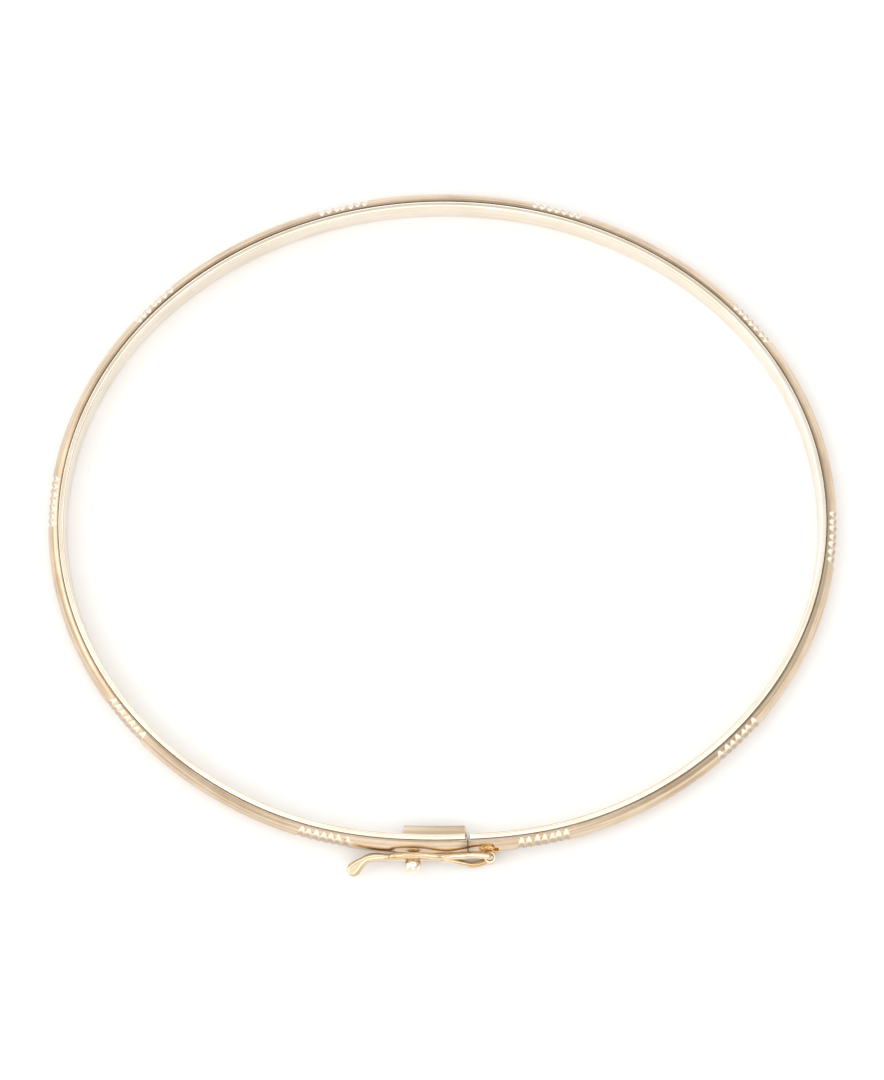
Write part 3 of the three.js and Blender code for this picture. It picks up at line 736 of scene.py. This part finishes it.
# --- safety wire


def wire_r(s, side=0):
    to_hinge = smooth(s, BALL_AT, KNUCKLE_AT)
    to_end = np.clip((BALL_AT - s) / (BALL_AT - LOOP_END_AT), 0, 1)
    off = LOOP_OFF + (KNUCKLE_OFF - LOOP_OFF) * to_hinge + LOOP_END_GAP * to_end
    twisted = smooth(s, WAIST_AT - TWIST_FADE, KNUCKLE_AT - TWIST_FADE)
    twisted = twisted * (1 - smooth(s, KNUCKLE_AT - ELBOW * 2, KNUCKLE_AT))
    return TUBE_DEPTH + off + twisted * {0: 0, 1: -TWIST_UPPER, -1: TWIST_LOWER}[side]


def wire_side(side):
    leg_end = KNUCKLE_LENGTH / 2 - LEG_DEPTH

    def hinge_point(spread):
        return np.array([hinge[0], hinge[1], MID_Z + side * spread])

    def p(s, spread):
        return at(s, wire_r(s, side), MID_Z + side * spread)

    return [
        hinge_point(leg_end),
        hinge_point(HINGE_SPREAD - ELBOW * 1.35),
        hinge_point(HINGE_SPREAD - ELBOW * 0.62),
        p(KNUCKLE_AT - ELBOW * 0.22, HINGE_SPREAD - ELBOW * 0.2),
        p(KNUCKLE_AT - ELBOW * 0.72, HINGE_SPREAD),
        p(KNUCKLE_AT - 1.2, HINGE_SPREAD - 0.1),
        p((KNUCKLE_AT + WAIST_AT) / 2 - 0.3, (HINGE_SPREAD + WAIST_SPREAD) / 2),
        p(WAIST_AT, WAIST_SPREAD),
        p(WAIST_AT - 0.8, (WAIST_SPREAD + LOOP_SPREAD) / 2 - 0.04),
        p(BALL_AT + 0.75, LOOP_SPREAD - 0.04),
        p(BALL_AT, LOOP_SPREAD),
        p(BALL_AT - 0.75, LOOP_SPREAD - 0.06),
        p((BALL_AT + LOOP_END_AT) / 2 - 0.4, (LOOP_SPREAD + LOOP_END_SPREAD) / 2),
        p(LOOP_END_AT + 0.7, LOOP_END_SPREAD + 0.06),
        p(LOOP_END_AT + 0.3, LOOP_END_SPREAD),
    ]


WIRE_SHY = 0.002  # how much less than the CAD's the wire's radius is
knots = wire_side(1) + [at(LOOP_END_AT, wire_r(LOOP_END_AT), MID_Z)] + wire_side(-1)[::-1]
line = through(knots, 420)
bar_piece(
    "safety_wire_bent", line, np.full(len(line), WIRE / 2 - WIRE_SHY), 28, wire_gold,
    "safety", ["safety_wire"],
)

# --- thumb lift

LIFT_BEND = ((0, 0), (0.4, 0.14), (0.69, 0.46), (0.87, 0.75), (1, 1))
lift_knots = [at(LIFT_SEAM_AT, wire_r(LIFT_SEAM_AT), MID_Z)]
lift_knots += [
    at(LIFT_START - LIFT_LENGTH * share, wire_r(LIFT_START) + LIFT_RISE * rise, MID_Z)
    for share, rise in LIFT_BEND
]
line = through(lift_knots, 60)
run = around(line)
share = run / run[-1]
thick = WIRE + (LIFT_THICK - WIRE) * smooth(share, 0, 0.4) + (LIFT_TIP - LIFT_THICK) * smooth(share, 0.6, 1)
half_thick = thick / 2
tangent = np.gradient(line, axis=0)
tangent /= np.linalg.norm(tangent, axis=1)[:, None]
across = np.stack([tangent[:, 1], -tangent[:, 0], np.zeros(len(line))], 1)
# the bar's own stations, then a half turn round the tip
tip = line[-1]
turn = np.linspace(0, math.pi / 2, 16)[1:-1]
centres = np.concatenate([line, tip + tangent[-1] * (LIFT_TIP / 2) * np.sin(turn)[:, None]])
halves = np.concatenate([half_thick, (LIFT_TIP / 2) * np.cos(turn)])
acrosses = np.concatenate([across, np.repeat(across[-1:], len(turn), 0)])
corner = 0.3
quarter = np.radians(np.linspace(0, 90, 7))
points = []
for centre, h, side in zip(centres, halves, acrosses):
    c = min(corner, h * 0.95)
    w = LIFT_WIDE / 2
    section = []
    for sign_a, sign_z, first in ((1, 1, 0), (-1, 1, 90), (-1, -1, 180), (1, -1, 270)):
        for a in quarter + math.radians(first):
            section.append((sign_a * (h - c) + c * math.cos(a), sign_z * (w - c) + c * math.sin(a)))
    points.extend(centre + side * u + np.array([0, 0, v]) for u, v in section)
count = len(quarter) * 4
lane = np.stack(np.broadcast_arrays(around(centres)[:, None], np.linspace(0, 3, count)[None, :]), -1)
make(
    "thumb_lift_bent", points, loft_faces(len(centres), count), wire_gold,
    "safety", ["thumb_lift"], lane, sharp=50,
)

# --- press tab


TAB_LOOK_HEIGHT = TAB_HEIGHT - 0.08
TAB_FOOT = 0.08


def tab_outline():
    """The tab seen along the ring's axis, as points in s and r, with both top corners rounded."""
    points = []
    for s, lean in ((TAB_START + TAB_SLOPE, 1), (TAB_END - TAB_SLOPE, -1)):
        run = []
        for a in np.linspace(0, math.pi / 2, 8):
            along = s + lean * TAB_ROUND * (1 - math.cos(a))
            run.append((along, -TAB_LOOK_HEIGHT + TAB_ROUND * (1 - math.sin(a))))
        points += run if lean > 0 else run[::-1]
    points += [(TAB_END, TAB_FOOT), (TAB_START, TAB_FOOT)]
    return points


def densify(outline, step=0.12):
    """The same closed outline with a point at least every step."""
    dense = []
    for a, b in zip(outline, outline[1:] + outline[:1]):
        a, b = np.array(a), np.array(b)
        n = max(1, int(np.linalg.norm(b - a) / step))
        dense += [tuple(a + (b - a) * i / n) for i in range(n)]
    return dense


TAB_BEVEL = 0.09
TAB_CROWN = 0.07
# how much painted shade darkens the tab at its foot
TAB_FOOT_SHADE_SHARE = 0.9
base = np.array(densify(tab_outline()))
tab_middle = (base.max(0) + base.min(0)) / 2
tab_half = (base.max(0) - base.min(0)) / 2
tab_rings = []
for side in (-1, 1):
    for a in np.linspace(0, math.pi / 2, 6)[:: -side]:
        inset = TAB_BEVEL * (1 - math.cos(a))
        ring = tab_middle + (base - tab_middle) * (1 - inset / tab_half)
        crown = TAB_CROWN * ((ring[:, 1] - tab_middle[1]) / tab_half[1]) ** 2
        tab_rings.append((ring, MID_Z + side * (TAB_WIDTH / 2 - TAB_BEVEL * (1 - math.sin(a)) - crown)))
points = np.concatenate([at(ring[:, 0], ring[:, 1], z) for ring, z in tab_rings])
lane = np.concatenate([np.stack([ring[:, 0], ring[:, 1] + z], -1) for ring, z in tab_rings])
# painted shade on the tab towards its foot, where it meets the ring
foot_shade = np.concatenate([smooth(ring[:, 1], -0.2, -0.04) * TAB_FOOT_SHADE_SHARE for ring, z in tab_rings])
marks = np.stack([foot_shade, foot_shade * 0, foot_shade * 0], -1)
make(
    "press_tab_filed", points, loft_faces(len(tab_rings), len(base)), tab_gold,
    "tongue_spring", ["press_tab"], lane, sharp=50, marks=marks,
)

# ---------------------------------------------------------------- pieces kept as the CAD has them

for name, material in (
    ("mouth_plate", plate_gold),
    ("end_plug", plate_gold),
    ("tongue_blade", tongue_gold),
    ("spring_leaf", tongue_gold),
):
    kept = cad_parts[name]
    kept.data.materials.clear()
    kept.data.materials.append(material)

# ---------------------------------------------------------------- floor, light and camera

FLOOR_SIZE = 3000 * MM
FLOOR_BELOW = 0.02 * MM
PAPER = 0.93
floor_mesh = bpy.data.meshes.new("floor")
corners = [(x * FLOOR_SIZE / 2, y * FLOOR_SIZE / 2, 0) for x, y in ((-1, -1), (1, -1), (1, 1), (-1, 1))]
floor_mesh.from_pydata(corners, [], [(0, 1, 2, 3)])
floor = bpy.data.objects.new("floor", floor_mesh)
bpy.context.scene.collection.objects.link(floor)
floor.location.z = -FLOOR_BELOW
paper = bpy.data.materials.new("paper")
paper.use_nodes = True
paper_shader = paper.node_tree.nodes["Principled BSDF"]
paper_shader.inputs["Base Color"].default_value = grey(PAPER)
paper_shader.inputs["Roughness"].default_value = 0.9
paper_shader.inputs["Specular IOR Level"].default_value = 0.2
floor_mesh.materials.append(paper)

# The studio: a bright tent with a stronger light overhead, and softer lighter and darker areas round it.
world = bpy.data.worlds.new("studio")
bpy.context.scene.world = world
world.use_nodes = True
tree = world.node_tree
link = tree.links.new
background = tree.nodes["Background"]
sky = node(tree, "ShaderNodeTexCoord").outputs["Generated"]


def cone(direction, inner, outer):
    """1 within inner degrees of a direction, falling to 0 at outer degrees."""
    dot = node(tree, "ShaderNodeVectorMath", operation="DOT_PRODUCT")
    link(sky, dot.inputs[0])
    dot.inputs[1].default_value = Vector(direction).normalized()
    angle = node(tree, "ShaderNodeMath", operation="ARCCOSINE")
    link(dot.outputs["Value"], angle.inputs[0])
    fade = node(tree, "ShaderNodeMapRange", interpolation_type="SMOOTHSTEP")
    fade.inputs["From Min"].default_value = math.radians(inner)
    fade.inputs["From Max"].default_value = math.radians(outer)
    fade.inputs["To Min"].default_value = 1
    fade.inputs["To Max"].default_value = 0
    link(angle.outputs[0], fade.inputs["Value"])
    return fade.outputs[0]


def towards(azimuth, elevation):
    """Azimuth 0 is the camera's side and 90 is +X."""
    a, e = math.radians(azimuth), math.radians(elevation)
    return (math.sin(a) * math.cos(e), -math.cos(a) * math.cos(e), math.sin(e))


TENT = 0.92
DARKEST = 0.05
LAMPS = (
    # azimuth, elevation, inner and outer in degrees, added light
    (0, 90, 36, 43, 1.5),
    (0, 90, 23, 29, -1.5),
    (0, 80, 17, 25, 0.5),
    (180, 75, 4, 9, -0.15),
    (270, 14, 20, 44, 1.0),
    (0, 22, 16, 34, 0.35),
    (90, 12, 10, 34, -0.3),
    (180, 20, 20, 50, -0.15),
    (345, 50, 4, 13, -0.3),
    (10, 50, 4, 13, -0.4),
    (35, 49, 4, 13, -0.4),
    (60, 47, 4, 13, -0.3),
)
level = None
for azimuth, elevation, inner, outer, added in LAMPS:
    part = node(tree, "ShaderNodeMath", operation="MULTIPLY_ADD")
    link(cone(towards(azimuth, elevation), inner, outer), part.inputs[0])
    part.inputs[1].default_value = added
    if level is None:
        part.inputs[2].default_value = TENT
    else:
        link(level, part.inputs[2])
    level = part.outputs[0]
least = node(tree, "ShaderNodeMath", operation="MAXIMUM")
link(level, least.inputs[0])
least.inputs[1].default_value = DARKEST
link(least.outputs[0], background.inputs["Strength"])
background.inputs["Color"].default_value = (1.0, 0.99, 0.975, 1)

bpy.context.scene.view_settings.view_transform = "Standard"

# The camera stands nearly over the ring, a little to the clasp's side.
CAMERA_TILT = math.radians(10.52)
CAMERA_ROLL = 0.0137
CAMERA_AWAY = 323.4
CAMERA_LENS = 134.75
CAMERA_SHIFT = (-0.0004, -0.01636)
CAMERA_CLIP = (0.01, 10)
camera_data = bpy.data.cameras.new("camera")
camera_data.sensor_width = 36
camera_data.lens = CAMERA_LENS
camera_data.shift_x, camera_data.shift_y = CAMERA_SHIFT
camera_data.clip_start, camera_data.clip_end = CAMERA_CLIP
camera = bpy.data.objects.new("camera", camera_data)
bpy.context.scene.collection.objects.link(camera)
bpy.context.scene.camera = camera
back = Vector((0, -math.sin(CAMERA_TILT), math.cos(CAMERA_TILT)))
level_up = Vector((0, math.cos(CAMERA_TILT), math.sin(CAMERA_TILT)))
right = Vector((1, 0, 0)) * math.cos(CAMERA_ROLL) - level_up * math.sin(CAMERA_ROLL)
up = back.cross(right)
turn = Matrix((right, up, back)).transposed().to_4x4()
centre = Vector((RING_X, RING_Y, MID_Z)) * MM
camera.matrix_world = Matrix.Translation(centre + back * CAMERA_AWAY * MM) @ turn
